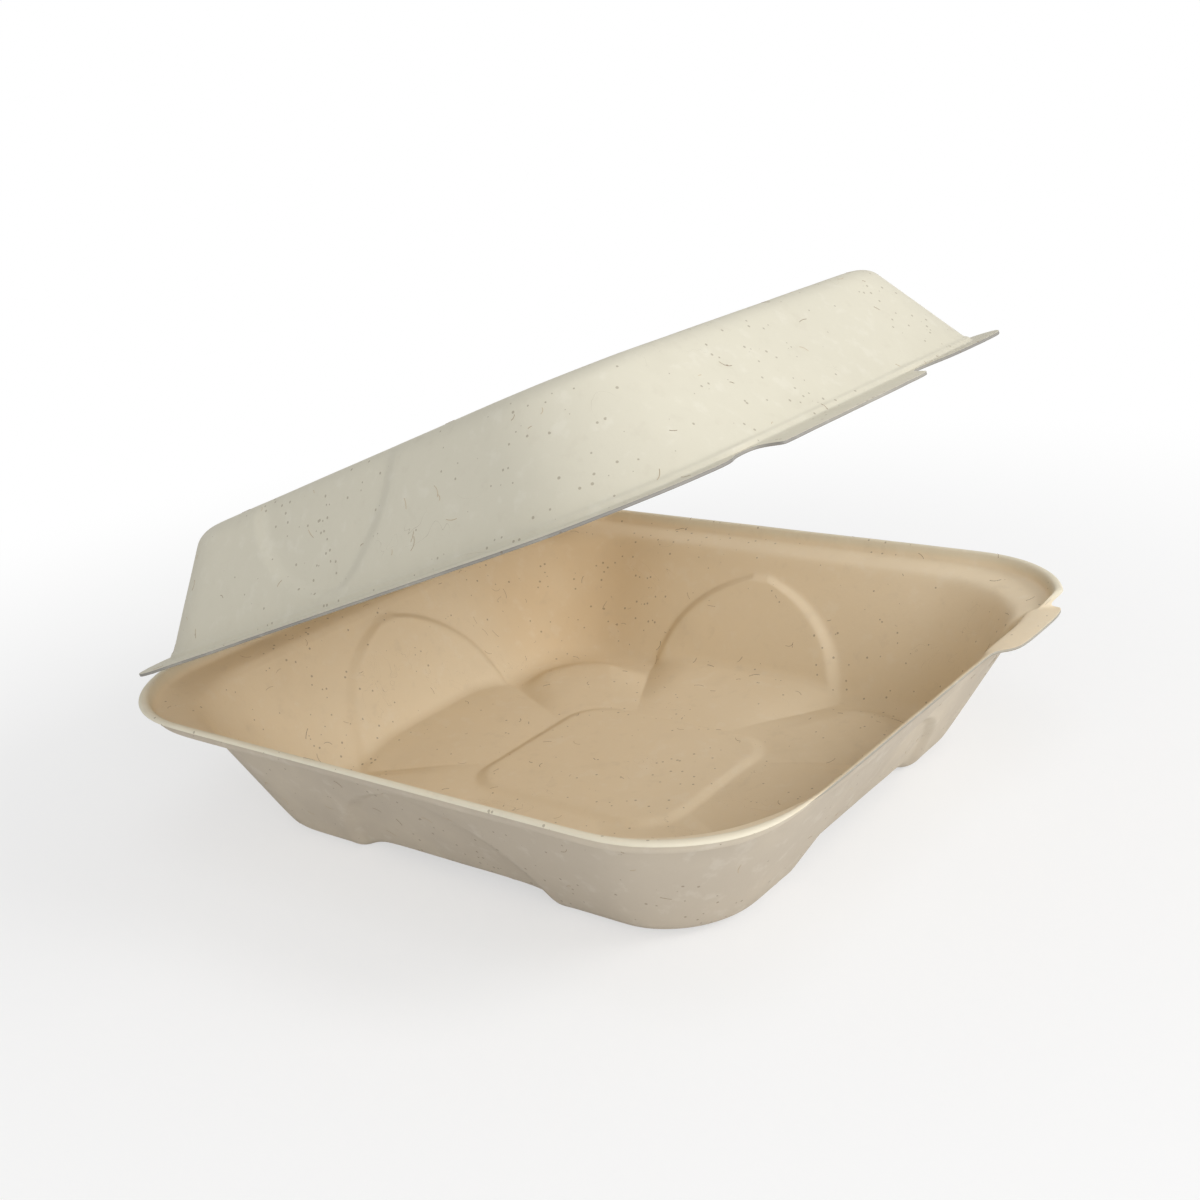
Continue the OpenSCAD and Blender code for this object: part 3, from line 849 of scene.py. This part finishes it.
def strip(name, root, turn=None):
    """A tongue from root, a point (y, z), to a round about the fold line, drawn along the fold."""
    away = Vector((FOLD_Y - root[0], FOLD_Z - root[1])).normalized()
    side = Vector((-away.y, away.x))
    start = Vector(root)
    end = Vector((FOLD_Y, FOLD_Z))
    section = [start + side * 0.4, start - side * 0.4]
    for j in range(7):
        a = math.pi * j / 6
        section.append(end + BEAD * (math.cos(a) * -side + math.sin(a) * away))
    steps = 40
    points, faces = [], []
    for i in range(steps + 1):
        x = mix(-FOLD_HALF, FOLD_HALF, i / steps)
        points += [Vector((x, q.x, q.y)) for q in section]
    m = len(section)
    for i in range(steps):
        for j in range(m):
            a, b = i * m + j, i * m + (j + 1) % m
            faces.append((a, a + m, b + m, b))
    faces += [tuple(range(m)), tuple(reversed(range(steps * m, (steps + 1) * m)))]
    if turn:
        points = [turn @ q for q in points]
    mesh = bpy.data.meshes.new(name)
    mesh.from_pydata([q * MM for q in points], [], faces)
    bm = bmesh.new()
    bm.from_mesh(mesh)
    bmesh.ops.recalc_face_normals(bm, faces=bm.faces)
    bm.to_mesh(mesh)
    bm.free()
    return add_object(name, mesh)


tray_strip = strip("tray_fold_strip", (TRAY["d"] / 2 + TRAY_Y - 1.3, TRAY["h"] - 0.75))
lid_strip = strip("lid_fold_strip", (LID_Y + LID_D / 2 - 1.6, CREASE_Z - LID["fall"] - 0.1), OPENED)
for obj, mat, body, slot in ((tray_strip, tray_pulp, "tray", "tray_fibre"),
                             (lid_strip, lid_pulp, "cover", "lid_fibre")):
    obj.data.materials.append(mat)
    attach(obj, body)
    print(obj.name, len(obj.data.polygons), "faces")

# %% [markdown]
# ## Stray fibres
# The pulp is plant fibre, and some longer, darker fibres dry on its surface. They repeat and they
# follow the surface, so Geometry Nodes lay them: points scattered on the sheet, a short curve at
# each, turned at random, pulled down onto the sheet, and given a thin round section that fades
# out at both ends.

# %% The fibre tree
def fibre_tree():
    tree = new_tree("stray fibres", {"Per square metre": 2400.0, "Length": 0.0027, "Thickness": 0.00016,
                                     "Seed": 1})
    t = Tree(tree)
    given = t.node("NodeGroupInput").outputs
    done = t.node("NodeGroupOutput")
    spread = t.node("GeometryNodeDistributePointsOnFaces", {
        "Mesh": given["Geometry"], "Density": given["Per square metre"], "Seed": given["Seed"]},
        distribute_method="RANDOM")
    hair = t.node("GeometryNodeCurveQuadraticBezier", {"Resolution": 5, "Start": (-0.5, 0, 0),
                                                       "Middle": (0, 0.45, 0), "End": (0.5, 0, 0)})
    long = t.node("FunctionNodeRandomValue", {2: 0.35, 3: 1.5, "Seed": given["Seed"]}, data_type="FLOAT")
    bend = t.node("FunctionNodeRandomValue", {2: 0.05, 3: 1.0, "Seed": 11}, data_type="FLOAT")
    turn = t.node("FunctionNodeRandomValue", {2: 0.0, 3: 6.283, "Seed": 12}, data_type="FLOAT")
    size = Term(t, given["Length"]) * Term(t, long.outputs[1])
    scale = t.node("ShaderNodeCombineXYZ", {"X": size, "Y": size * Term(t, bend.outputs[1]), "Z": size})
    laid = t.node("GeometryNodeInstanceOnPoints", {"Points": spread.outputs["Points"], "Instance": hair.outputs[0],
                                                   "Rotation": spread.outputs["Rotation"], "Scale": scale.outputs[0]})
    round_up = t.node("ShaderNodeCombineXYZ", {"Z": Term(t, turn.outputs[1])})
    turned_round = t.node("GeometryNodeRotateInstances", {"Instances": laid.outputs[0],
                                                          "Rotation": round_up.outputs[0]})
    real = t.node("GeometryNodeRealizeInstances", {"Geometry": turned_round.outputs[0]})
    near = t.node("GeometryNodeProximity", {"Geometry": given["Geometry"]}, target_element="FACES")
    down = t.node("GeometryNodeSetPosition", {"Geometry": real.outputs[0], "Position": near.outputs["Position"]})
    along_it = Term(t, t.node("GeometryNodeSplineParameter").outputs["Factor"])
    fade = (along_it - 0.5).math("ABSOLUTE").window(0.5, 0.1, 0.25, 1.0)
    width = t.node("GeometryNodeSetCurveRadius", {"Curve": down.outputs[0], "Radius": fade})
    ring = t.node("GeometryNodeCurvePrimitiveCircle", {"Resolution": 4, "Radius": Term(t, given["Thickness"]) * 0.5},
                  mode="RADIUS")
    tube = t.node("GeometryNodeCurveToMesh", {"Curve": width.outputs[0], "Profile Curve": ring.outputs["Curve"],
                                              "Fill Caps": True})
    smooth = t.node("GeometryNodeSetShadeSmooth", {"Geometry": tube.outputs[0], "Shade Smooth": True})
    painted = t.node("GeometryNodeSetMaterial", {"Geometry": smooth.outputs[0], "Material": given["Material"]})
    t.put(done.inputs[0], painted.outputs[0])
    return tree


FIBRES = fibre_tree()
print("fibre tree has", len(FIBRES.nodes), "nodes")


# %% The fibre material
def fibre_brown():
    mat, t = new_material("fibre brown")
    where = t.node("ShaderNodeTexCoord").outputs["Object"]
    tone = Term(t, t.node("ShaderNodeTexNoise", {"Vector": where, "Scale": 60.0, "Detail": 1.0}).outputs["Fac"])
    fine = Term(t, t.node("ShaderNodeTexNoise", {"Vector": where, "Scale": 2200.0, "Detail": 1.0}).outputs["Fac"])
    mixed = t.node("ShaderNodeMix", data_type="RGBA")
    t.put(mixed.inputs[0], tone.window(0.35, 0.62))
    t.put(mixed.inputs[6], (0.22, 0.14, 0.075, 1))
    t.put(mixed.inputs[7], (0.52, 0.40, 0.26, 1))
    bump = t.node("ShaderNodeBump", {"Height": fine, "Strength": 0.4, "Distance": 0.00005})
    shader = t.node("ShaderNodeBsdfPrincipled", {"Base Color": mixed.outputs[2], "Roughness": fine * 0.2 + 0.55,
                                                 "Normal": bump.outputs[0]})
    t.node("ShaderNodeOutputMaterial", {"Surface": shader.outputs[0]})
    return mat


FIBRE = fibre_brown()
print("material", FIBRE.name)

# %% Lay the fibres
for shell, name, body, slot, seed in ((tray_shell, "tray_fibres", "tray", "tray_fibre", 3),
                                      (lid_shell, "lid_fibres", "cover", "lid_fibre", 8)):
    fibres = run_tree(shell, FIBRES, name, Material=FIBRE, Seed=seed)
    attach(fibres, body)
    print(fibres.name, len(fibres.data.polygons), "faces")

# %% [markdown]
# ## Floor, light and camera
# The container stands on a plain white floor. A broad lamp in front of it lights the front of the lid
# and leaves its left side a little darker, as on the photograph.

# %% Floor
def plain(name, size, z):
    mesh = bpy.data.meshes.new(name)
    mesh.from_pydata([(-size, -size, z), (size, -size, z), (size, size, z), (-size, size, z)], [], [(0, 1, 2, 3)])
    return add_object(name, mesh)


floor = plain("floor", 6.0, -0.0002)
floor_mat, ft = new_material("floor white")
spread = ft.node("ShaderNodeVectorMath", {0: ft.node("ShaderNodeTexCoord").outputs["Object"]}, operation="LENGTH")
far = Term(ft, spread.outputs["Value"]).window(0.16, 0.50, 0.55, 1.0)
glow = ft.node("ShaderNodeEmission", {"Color": (1, 1, 1, 1), "Strength": 1.0})
matte = ft.node("ShaderNodeBsdfDiffuse", {"Color": (0.93, 0.93, 0.93, 1)})
floor_seen = Term(ft, ft.node("ShaderNodeLightPath").outputs["Is Camera Ray"])
both = ft.node("ShaderNodeMixShader", {0: far * floor_seen, 1: matte.outputs[0], 2: glow.outputs[0]})
ft.node("ShaderNodeOutputMaterial", {"Surface": both.outputs[0]})
floor.data.materials.append(floor_mat)
print("floor at", floor.data.vertices[0].co.z)

# %% World and lamps
world = bpy.data.worlds.new("studio")
bpy.context.scene.world = world
world.use_nodes = True
wt = Tree(world.node_tree)
world.node_tree.nodes.clear()
path = wt.node("ShaderNodeLightPath")
seen = (Term(wt, path.outputs["Is Camera Ray"]) + Term(wt, path.outputs["Is Glossy Ray"])
        + Term(wt, path.outputs["Is Transmission Ray"])).math("MINIMUM", 1.0)
soft = wt.node("ShaderNodeBackground", {"Color": (1, 1, 1, 1), "Strength": 0.50})
white = wt.node("ShaderNodeBackground", {"Color": (1, 1, 1, 1), "Strength": 1.0})
both = wt.node("ShaderNodeMixShader", {0: seen, 1: soft.outputs[0], 2: white.outputs[0]})
wt.node("ShaderNodeOutputWorld", {"Surface": both.outputs[0]})


def lamp(name, place, power, size, target=(0, 0, 0.05)):
    data = bpy.data.lights.new(name, "AREA")
    data.energy, data.size = power, size
    obj = add_object(name, data)
    obj.location = place
    obj.rotation_euler = (Vector(target) - Vector(place)).to_track_quat("-Z", "Y").to_euler()
    return obj


key = lamp("key lamp", (0.55, -1.40, 0.95), 10.4, 0.6)
fill = lamp("fill lamp", (-1.05, -1.25, 0.62), 10.0, 0.9)
top = lamp("top lamp", (-0.2, -0.2, 1.8), 2.5, 1.2)
print("lamps", key.data.energy, fill.data.energy, top.data.energy)

# %% Camera
RIGHT = Vector((0.592262, -0.800333, -0.093236))
UP = Vector((0.318765, 0.126461, 0.939360))
BACK = Vector((-0.740010, -0.586067, 0.330016))
cam_data = bpy.data.cameras.new("camera")
cam_data.sensor_width = 36.0
cam_data.lens = 48.454
cam_data.clip_start, cam_data.clip_end = 0.01, 20.0
camera = add_object("camera", cam_data)
spot = Vector((-378.87, -298.31 + TRAY_Y, 228.20)) * MM
camera.matrix_world = Matrix.Translation(spot) @ Matrix((RIGHT, UP, BACK)).transposed().to_4x4()
bpy.context.scene.camera = camera
print("camera", tuple(round(c, 4) for c in spot), "lens", cam_data.lens)

bpy.context.scene.view_settings.view_transform = "Standard"
